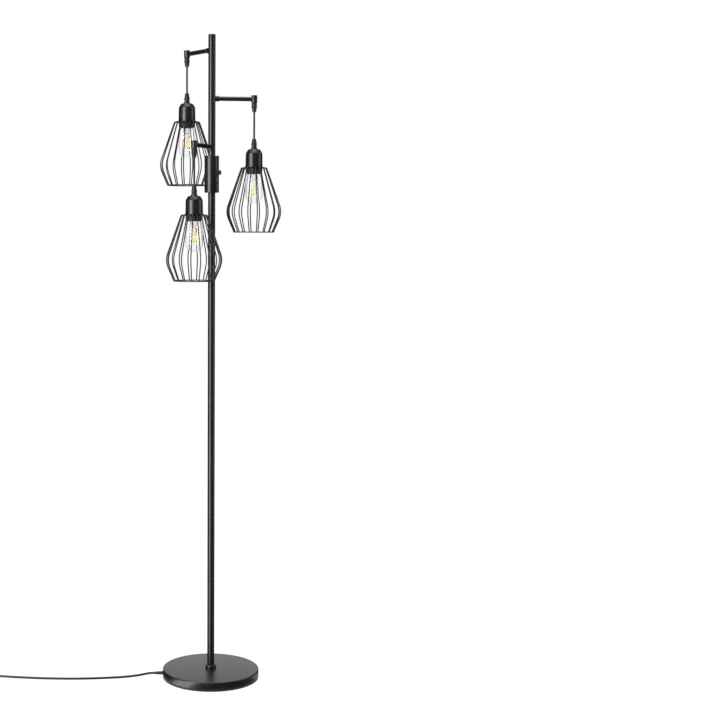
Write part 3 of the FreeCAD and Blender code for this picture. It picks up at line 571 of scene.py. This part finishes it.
NECK_H, CUP_H, CUP_SHEET, CUP_HOLE_R = 4.0, 45.5, 1, 4.4
WIRE_R, WASHER_H, RING_H, MOUTH_BELOW = 1.5, 1.2, 11.0, 3.3
CAP_IN_MOUTH, CAP_L = 4.8, 25.7
CUP_TOP = SEAT - NECK_H
HOLDER_TOP = CUP_TOP - CUP_SHEET
CAGE_TOP = CUP_TOP - CUP_H
WIRE_Z = CAGE_TOP - WASHER_H - WIRE_R
RING_TOP = WIRE_Z - WIRE_R
RING_LOW = RING_TOP - RING_H
MOUTH = RING_LOW - MOUTH_BELOW
CAP_LOW = MOUTH + CAP_IN_MOUTH
CONTACT = CAP_LOW + CAP_L
SHELL_BORE, SHELL_R, SHELL_LOW = 14.1, 14.55, MOUTH + 6

nickel = Finish("polished_nickel", Metallic=1.0)
nickel.shade(nickel.noise(0.01, 3), (0.52, 0.5, 0.46), (0.68, 0.66, 0.62))
nickel.rough(0.14 + 0.12 * nickel.noise(0.004, 4))
nickel.bump(nickel.noise(0.0008, 2), 0.00001, 0.5)

cup_outline = [(CUP_HOLE_R, SEAT), (8.8, SEAT, 0.6), (8.8, CUP_TOP, 0.8), (15.6, CUP_TOP, 5.0),
               (21.8, CUP_TOP - 10.5, 7.0), (22.5, CAGE_TOP, 0.3), (21.5, CAGE_TOP),
               (20.8, CUP_TOP - 10.9, 6.0), (14.8, HOLDER_TOP, 4.0),
               (CUP_HOLE_R, HOLDER_TOP)]
holder_outline = [(CUP_HOLE_R, HOLDER_TOP), (13.5, HOLDER_TOP, 0.5), (17.0, CUP_TOP - 8, 1.0),
                  (17.0, CONTACT - 1), (20.0, CONTACT - 1, 0.4), (20.0, RING_LOW, 0.5),
                  (18.0, RING_LOW), (18.0, MOUTH, 0.6), (17.0, MOUTH, 0.4), (17.0, SHELL_LOW, 0.3),
                  (14.6, SHELL_LOW), (14.6, CONTACT + 0.2), (CUP_HOLE_R, CONTACT + 0.2)]
for number in NUMBERS:
    cup = turned(f"shade_cup_{number}", cup_outline, coat, hung[number], 96)
    stands_for(cup, f"pendant_{number}", "black_powder", f"cup_{number}")
    holder = turned(f"holder_{number}", holder_outline, plastic, hung[number], 72)
    shell = turned(f"holder_shell_{number}", [(SHELL_BORE, SHELL_LOW), (SHELL_R, SHELL_LOW),
                                              (SHELL_R, CONTACT - 2), (SHELL_BORE, CONTACT - 2)],
                   nickel, hung[number], 72)
    stands_for(holder, f"pendant_{number}", "black_plastic", f"lampholder_{number}")
    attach(shell, f"pendant_{number}")

# ------------------------------------------------------------------ shade ring
# A moulded ring with upright ribs screws onto the lampholder and clamps the cage.

RIBS, RIB_R, RING_R = 24, 0.9, 21.1


def rule(name, *inputs):
    """Empty rule for a modifier: geometry in and out, and named inputs of a kind."""
    tree = bpy.data.node_groups.new(name, "GeometryNodeTree")
    tree.interface.new_socket("Geometry", in_out="INPUT", socket_type="NodeSocketGeometry")
    tree.interface.new_socket("Geometry", in_out="OUTPUT", socket_type="NodeSocketGeometry")
    for label, kind in inputs:
        tree.interface.new_socket(label, in_out="INPUT", socket_type="NodeSocket" + kind)
    nodes = Nodes(tree)
    given = tree.nodes.new("NodeGroupInput")
    return nodes, {socket.name: Value(nodes, socket) for socket in given.outputs if socket.name}


def around(nodes, copied, count, turn=0.0):
    """Copies of a shape turned about Z in even steps, made real."""
    spots = nodes.node("GeometryNodePoints", None, {"Count": count})
    number = nodes.node("GeometryNodeInputIndex")
    angle = number * (2 * math.pi) / count + turn
    spin = nodes.node("FunctionNodeAxisAngleToRotation", None, {"Axis": (0, 0, 1), "Angle": angle})
    copies = nodes.node("GeometryNodeInstanceOnPoints", None,
                        {"Points": spots, "Instance": copied, "Rotation": spin})
    return nodes.node("GeometryNodeRealizeInstances", None, {"Geometry": copies})


def ending(nodes, geometry, material):
    dressed = nodes.node("GeometryNodeSetMaterial", None,
                         {"Geometry": geometry, "Material": material})
    out = nodes.tree.nodes.new("NodeGroupOutput")
    nodes.feed(out.inputs[0], dressed)


def ruled(shown, nodes, values):
    """Plain mesh that a rule with these values makes of an object, under its name."""
    modifier = shown.modifiers.new("rule", "NODES")
    modifier.node_group = nodes.tree
    for item in nodes.tree.interface.items_tree:
        if item.in_out == "INPUT" and item.name in values:
            modifier[item.identifier] = values[item.name]
    bpy.context.view_layer.update()
    seen = shown.evaluated_get(bpy.context.evaluated_depsgraph_get())
    mesh = bpy.data.meshes.new_from_object(seen)
    name = shown.name
    bpy.data.objects.remove(shown)
    shown = bpy.data.objects.new(name, mesh)
    bpy.context.scene.collection.objects.link(shown)
    return shown


ribs, given = rule("upright_ribs", ("Ribs", "Int"), ("Rib Radius", "Float"),
                   ("Rib Height", "Float"), ("Ring Radius", "Float"), ("Middle", "Float"),
                   ("Material", "Material"))
rib = ribs.node("GeometryNodeMeshCylinder", None,
                {"Vertices": 10, "Radius": given["Rib Radius"], "Depth": given["Rib Height"]})
beside = ribs.node("ShaderNodeCombineXYZ", None, {0: given["Ring Radius"], 2: given["Middle"]})
rib = ribs.node("GeometryNodeTransform", None, {"Geometry": rib, "Translation": beside})
rib = ribs.node("GeometryNodeSetShadeSmooth", {"domain": "FACE"}, {"Geometry": rib})
both = ribs.node("GeometryNodeJoinGeometry", None, {0: around(ribs, rib, given["Ribs"])})
ribs.feed(both.socket.node.inputs[0], given["Geometry"])
ending(ribs, both, given["Material"])

ring_outline = [(20.0, RING_LOW), (RING_R, RING_LOW, 0.4), (RING_R, RING_TOP, 0.3),
                (20.0, RING_TOP)]
for number in NUMBERS:
    ring = turned(f"shade_ring_ribbed_{number}", ring_outline, plastic, segments=96)
    ring = ruled(ring, ribs, {"Ribs": RIBS, "Rib Radius": RIB_R * MM,
                              "Rib Height": (RING_TOP - RING_LOW - 0.8) * MM,
                              "Ring Radius": RING_R * MM,
                              "Middle": (RING_TOP + RING_LOW) / 2 * MM,
                              "Material": plastic.material})
    ring.data.transform(hung[number])
    stands_for(ring, f"pendant_{number}", "black_plastic", f"shade_ring_{number}")

# ------------------------------------------------------------------ cage
# Bent steel wires start under a washer, run out and down, curve in and are welded to a ring
# at the foot. The wires are drawn once and turned round the shade's axis by a rule.

WIRES = 18
WIRE_TURN = (-3.0, 9.2, -2.5)
CAGE_H, FOOT_R = 171.0, 52.0
CORNER_R, CORNER_DOWN, CORNER_BEND = 74.0, 118.0, 50.0
FOOT_Z = CAGE_TOP - CAGE_H + WIRE_R
WIRE_CORNERS = [(21.0, WIRE_Z, 0), (33.0, WIRE_Z, 4.0),
                (CORNER_R, CAGE_TOP - CORNER_DOWN, CORNER_BEND),
                (FOOT_R, FOOT_Z + 0.4, 0)]

cage, given = rule("cage_wires", ("Wires", "Int"), ("Wire Radius", "Float"), ("Turn", "Float"),
                   ("Material", "Material"))
bend = cage.node("GeometryNodeInputRadius")
bent = cage.node("GeometryNodeFilletCurve", {"mode": "POLY"},
                 {"Curve": given["Geometry"], "Count": 12, "Radius": bend})
even = cage.node("GeometryNodeSetCurveRadius", None, {"Curve": bent, "Radius": 1.0})
round_bar = cage.node("GeometryNodeCurvePrimitiveCircle", None,
                      {"Resolution": 12, "Radius": given["Wire Radius"]})
wire = cage.node("GeometryNodeCurveToMesh", None,
                 {"Curve": even, "Profile Curve": round_bar, "Fill Caps": True})
wire = cage.node("GeometryNodeSetShadeSmooth", {"domain": "FACE"}, {"Geometry": wire})
ending(cage, around(cage, wire, given["Wires"], given["Turn"]), given["Material"])

WASHER_BORE, WASHER_R = 20.9, 25.0
washer_outline = [(WASHER_BORE, CAGE_TOP - WASHER_H), (WASHER_R, CAGE_TOP - WASHER_H, 0.2),
                  (WASHER_R, CAGE_TOP, 0.2), (WASHER_BORE, CAGE_TOP)]
ring_section = [(FOOT_R + WIRE_R * math.cos(a), FOOT_Z + WIRE_R * math.sin(a))
                for a in (math.pi * k / 8 for k in range(16))]
for number, turn in zip(NUMBERS, WIRE_TURN):
    curve = bpy.data.curves.new("wire", "CURVE")
    curve.dimensions = "3D"
    spline = curve.splines.new("POLY")
    spline.points.add(len(WIRE_CORNERS) - 1)
    for at, (r, z, rounding) in zip(spline.points, WIRE_CORNERS):
        at.co = (r * MM, 0, z * MM, 1)
        at.radius = rounding * MM
    wires = bpy.data.objects.new(f"wires_{number}", curve)
    bpy.context.scene.collection.objects.link(wires)
    wires = ruled(wires, cage, {"Wires": WIRES, "Wire Radius": WIRE_R * MM,
                                "Turn": math.radians(turn), "Material": coat.material})
    wires.data.transform(hung[number])
    stands_for(wires, f"pendant_{number}", "black_powder", f"cage_wires_{number}")
    rings = merged(f"cage_rings_round_{number}", coat,
                   [turned("ring", outline, coat, hung[number], 108)
                    for outline in (washer_outline, ring_section)])
    stands_for(rings, f"pendant_{number}", "black_powder", f"cage_rings_{number}")

# ------------------------------------------------------------------ bulb
# A nickel screw cap with a black insulator, a clear tube of blown glass, and on its stem four filament
# sticks coated amber and given a faint painted glow, which lean together towards the tip.

BULB_R, BULB_L = 22.5, 108.0
TIP = CONTACT - BULB_L
CAP_R, NECK_R, NECK_OUT, GLASS = 13.2, 12.4, 2.6, 0.9
NECK_TOP, SHOULDER_H, DOME_H = CAP_LOW + 6.0, 21.0, 21.0
THREAD_PITCH, THREAD_DEEP, THREAD_FADE = 3.6, 0.55, 3
CAP_SEGMENTS, THREAD_LEVELS = 64, 64

glass = Finish("clear_glass", IOR=1.46, Transmission_Weight=1.0, Roughness=0.0)
glass.shade(glass.noise(0.05, 1), (0.96, 0.97, 0.97), (0.99, 0.99, 0.99))

amber_and_glow = Finish("amber_sticks", IOR=1.5, Roughness=0.4)
amber_and_glow.shade(amber_and_glow.noise(0.0015, 2), (0.95, 0.56, 0.04), (1.0, 0.68, 0.08))
# The sticks glow faintly of their own: painted light.
amber_and_glow.feed(amber_and_glow.shader.inputs["Emission Color"], (1.0, 0.64, 0.09, 1))
amber_and_glow.shader.inputs["Emission Strength"].default_value = 0.35

insulator = Finish("black_glass_bead", IOR=1.5)
insulator.shade(insulator.noise(0.01), (0.01, 0.01, 0.012), (0.02, 0.02, 0.022))
insulator.rough(0.18 + 0.1 * insulator.noise(0.003))


def threaded_cap(name, place):
    """Cap with a rolled thread, a true helix, between a plain collar and the bead."""
    low, high = CAP_LOW + 4.0, CONTACT - 6.0
    levels = [CAP_LOW, CAP_LOW + 0.2] + [
        low + (high - low) * k / THREAD_LEVELS for k in range(THREAD_LEVELS + 1)]
    made = bmesh.new()
    rings = []
    for z in levels:
        run = (min(max((z - low) / THREAD_FADE, 0), 1)
               * min(max((high - z) / THREAD_FADE, 0), 1))
        ring = []
        for k in range(CAP_SEGMENTS):
            angle = 2 * math.pi * k / CAP_SEGMENTS
            wave = math.cos(2 * math.pi * (z - low) / THREAD_PITCH - angle)
            r = CAP_R - 0.15 - THREAD_DEEP * run * (0.5 - 0.5 * wave)
            ring.append(made.verts.new((r * MM * math.cos(angle), r * MM * math.sin(angle),
                                        z * MM)))
        rings.append(ring)
    bridge(made, rings)
    made.faces.new(rings[-1])
    made.faces.new(rings[0])
    return piece(name, made, nickel, place)


def ellipse(radius, height, start, end, steps, middle_r, middle_z):
    """Points on a quarter of an ellipse between two angles in degrees."""
    points = []
    for k in range(steps + 1):
        a = math.radians(start + (end - start) * k / steps)
        points.append((middle_r + radius * math.cos(a), middle_z + height * math.sin(a)))
    return points


def glass_wall(inset):
    """Blown tube from its neck to its tip, set in from the outside by a wall's thickness."""
    neck = [(NECK_R - inset, NECK_TOP), (NECK_R - inset, CAP_LOW - NECK_OUT)]
    for k in range(1, 13):
        a = math.pi / 2 * k / 12
        neck.append((NECK_R - inset + (BULB_R - NECK_R) * math.sin(a),
                     CAP_LOW - NECK_OUT - SHOULDER_H * (1 - math.cos(a))))
    dome = ellipse(BULB_R - inset, DOME_H - inset, 0, -90, 16, 0, TIP + DOME_H)
    dome[-1] = (0, TIP + inset)
    return neck + dome


def stick(made, start, end, radius, sides=8):
    """Round bar with rounded ends between two points in millimetres."""
    start, end = Vector(start) * MM, Vector(end) * MM
    along = end - start
    turn = along.to_track_quat("Z", "Y").to_matrix().to_4x4()
    levels = [(-0.9, 0.45), (-0.5, 0.86), (0, 1)]
    rings = []
    for z0, levels_here in ((start, levels), (end, [(-a, b) for a, b in reversed(levels)])):
        for rise, share in levels_here:
            spot = Matrix.Translation(z0) @ turn
            rings.append([made.verts.new(spot @ Vector((radius * MM * share * math.cos(a),
                                                        radius * MM * share * math.sin(a),
                                                        rise * radius * MM)))
                          for a in (2 * math.pi * k / sides for k in range(sides))])
    bridge(made, rings)
    made.faces.new(rings[0])
    made.faces.new(rings[-1])


STEM_L = 21.0
STEM_LOW = CAP_LOW - STEM_L
SPREAD_TOP, SPREAD_LOW, SPREAD_STEM = 8.6, 4.2, 3.4
STICK_TOP, STICK_L = STEM_LOW - 4.0, 32.0
STICK_LOW = STICK_TOP - STICK_L
ROD_LOW = STICK_LOW - 3.0
stem_outline = [(0, NECK_TOP), (11.5, NECK_TOP), (11.5, CAP_LOW + 4.8, 0.5),
                (5.0, CAP_LOW, 4.0), (5.0, STEM_LOW + 5, 1.0), (4.2, STEM_LOW + 2.5, 1.0),
                (4.8, STEM_LOW, 0.8), (0, STEM_LOW)]
for number in NUMBERS:
    body = f"bulb_{number}"
    cap = threaded_cap(f"screw_cap_{number}", hung[number])
    stands_for(cap, body, "nickel", f"bulb_cap_{number}")
    bead = turned(f"bead_{number}", [(0, CONTACT - 6.2), (12.4, CONTACT - 6.2, 0.6),
                                     (4.9, CONTACT - 1.4, 0.4), (4.9, CONTACT - 1.0),
                                     (4.7, CONTACT, 0.3), (0, CONTACT)],
                  insulator, hung[number], 48)
    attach(bead, body)
    tube = turned(f"glass_tube_{number}", [(0, TIP)] + list(reversed(glass_wall(0)[:-1]))
                  + glass_wall(GLASS), glass, hung[number], 96)
    stands_for(tube, body, "clear_glass", f"bulb_glass_{number}")
    stem = turned(f"glass_stem_{number}", stem_outline, glass, hung[number], 32)
    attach(stem, body)
    sticks, wires = bmesh.new(), bmesh.new()
    stick(wires, (0, 0, STEM_LOW + 2), (0, 0, ROD_LOW), 0.5)
    for k in range(4):
        a = math.pi / 2 * (k + 0.5)
        side = Vector((math.cos(a), math.sin(a), 0))
        high = side * SPREAD_TOP + Vector((0, 0, STICK_TOP))
        low = side * SPREAD_LOW + Vector((0, 0, STICK_LOW))
        stick(sticks, high, low, 0.9, 12)
        stick(wires, side * SPREAD_STEM + Vector((0, 0, STEM_LOW + 1)), high, 0.3)
        stick(wires, low, (0, 0, ROD_LOW), 0.3)
    filaments = piece(f"filament_sticks_{number}", sticks, amber_and_glow, hung[number])
    stands_for(filaments, body, "filament", f"bulb_filaments_{number}")
    supports = piece(f"support_wires_{number}", wires, nickel, hung[number])
    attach(supports, body)

# ------------------------------------------------------------------ studio
# A plain pale floor runs out to a white backdrop. A tall soft box left of the camera and a
# narrower one at the right give the metal its upright highlights; one overhead lights the base.

floor_mesh = bpy.data.meshes.new("studio_floor")
FLOOR, FLOOR_GLOW, GLOW_SHARE = 30.0, 1.12, 0.85
floor_mesh.from_pydata([(-FLOOR, -FLOOR, 0), (FLOOR, -FLOOR, 0), (FLOOR, FLOOR, 0),
                        (-FLOOR, FLOOR, 0)], [], [(0, 1, 2, 3)])
floor = bpy.data.objects.new("studio_floor", floor_mesh)
bpy.context.scene.collection.objects.link(floor)
paper = Finish("white_floor", Roughness=0.9, Specular_IOR_Level=0.0)
paper.shader.inputs["Base Color"].default_value = (0.9, 0.9, 0.9, 1)
path = paper.node("ShaderNodeLightPath")
rays = path.socket.node.outputs
seen = Value(paper, rays["Is Camera Ray"])
clear = Value(paper, rays["Is Transmission Ray"])
glow = paper.node("ShaderNodeEmission", None, {"Color": (1, 1, 1, 1), "Strength": FLOOR_GLOW})
lit = Value(paper, paper.shader.outputs[0])
mix = paper.node("ShaderNodeMixShader", None,
                 {0: seen.maths("MAXIMUM", seen, clear) * GLOW_SHARE, 1: lit, 2: glow})
paper.feed(paper.tree.nodes["Material Output"].inputs["Surface"], mix)
floor_mesh.materials.append(paper.material)

world = bpy.data.worlds.new("white_room")
world.use_nodes = True
bpy.context.scene.world = world
room = Nodes(world.node_tree)
rays = room.node("ShaderNodeLightPath").socket.node.outputs
white = Value(room, rays["Is Camera Ray"]) + Value(room, rays["Is Glossy Ray"])
white = white + Value(room, rays["Is Transmission Ray"])
share = white.maths("MINIMUM", white, 1.0)
background = world.node_tree.nodes["Background"]
background.inputs["Color"].default_value = (1, 1, 1, 1)
AMBIENT = 0.5
room.feed(background.inputs["Strength"], AMBIENT + share * (1 - AMBIENT))

# Black flags lie on the floor and stand up beyond the lights, as they do round glossy metal in
# a studio, with a bright card on the floor before the left box. Only reflections see them, so
# they change no other light. Turns are in degrees, counted from the camera's side.
CAMERA_SIDE = 263.5
FLAG_FROM, FLAG_R, FLAG_H = 0.14, 6.0, 9.0
CARD_R, OFF_FLOOR, SCREEN_STEPS = 3.3, 0.001, 8


def shaded(name, start, end, profile, finish):
    """Sector of a screen round the lamp: its profile of (r, z) in metres, between two turns."""
    made = bmesh.new()
    posts = []
    for k in range(SCREEN_STEPS + 1):
        turn = math.radians(CAMERA_SIDE + start + (end - start) * k / SCREEN_STEPS)
        posts.append([made.verts.new((r * math.cos(turn), r * math.sin(turn), z))
                      for r, z in profile])
    for near, far in zip(posts, posts[1:]):
        for k in range(len(profile) - 1):
            made.faces.new([near[k], far[k], far[k + 1], near[k + 1]])
    screen = piece(name, made, finish)
    screen.visible_camera = screen.visible_diffuse = screen.visible_transmission = False
    screen.visible_shadow = False


flag_cloth = Finish("flag_cloth", Roughness=1.0, Specular_IOR_Level=0.0)
flag_cloth.shader.inputs["Base Color"].default_value = (0.01, 0.01, 0.01, 1)
flag_profile = ((FLAG_FROM, OFF_FLOOR), (FLAG_R, OFF_FLOOR), (FLAG_R, FLAG_H))
for name, start, end in (("flag_left", -158, -66), ("flag_front", -22, 76),
                         ("flag_right", 98, 158)):
    shaded(name, start, end, flag_profile, flag_cloth)
card_face = Finish("card_face", Emission_Color=(1, 1, 1, 1), Emission_Strength=4.0)
shaded("low_card", -58, -30, ((FLAG_FROM, OFF_FLOOR), (CARD_R, OFF_FLOOR)), card_face)

for name, spot, aim, size, power in (
        ("box_left", (-2.7, -2.3, 1.5), (0, 0, 1.5), (1.3, 3.0), 150.0),
        ("box_right", (2.9, -0.7, 1.5), (0, 0, 1.5), (0.6, 3.0), 18.0),
        ("overhead", (0.0, -0.4, 3.8), (0, 0, 0), (1.8, 1.8), 40.0)):
    light = bpy.data.lights.new(name, "AREA")
    light.shape = "RECTANGLE"
    light.size, light.size_y = size
    light.energy = power
    lamp = bpy.data.objects.new(name, light)
    lamp.location = spot
    lamp.rotation_euler = (Vector(aim) - Vector(spot)).to_track_quat("-Z", "Y").to_euler()
    bpy.context.scene.collection.objects.link(lamp)

# ------------------------------------------------------------------ camera
# The photograph looks slightly down from the front, with the lamp left of its middle.

LENS, SHIFT = 69.56, 0.2065
EYE = Vector((-0.4133, -3.6272, 1.1948))
AHEAD = Vector((0.1132, 0.9936, 0)).normalized()
PITCH, ROLL = math.radians(-5.301), math.radians(0.12)
camera = bpy.data.objects.new("camera", bpy.data.cameras.new("camera"))
camera.data.lens = LENS
camera.data.sensor_width = 36.0
camera.data.shift_x = SHIFT
look = AHEAD * math.cos(PITCH) + Vector((0, 0, math.sin(PITCH)))
facing = look.to_track_quat("-Z", "Y").to_matrix().to_4x4()
camera.matrix_world = Matrix.Translation(EYE) @ facing @ Matrix.Rotation(ROLL, 4, "Z")
bpy.context.scene.collection.objects.link(camera)
bpy.context.scene.camera = camera
bpy.context.scene.view_settings.view_transform = "Standard"
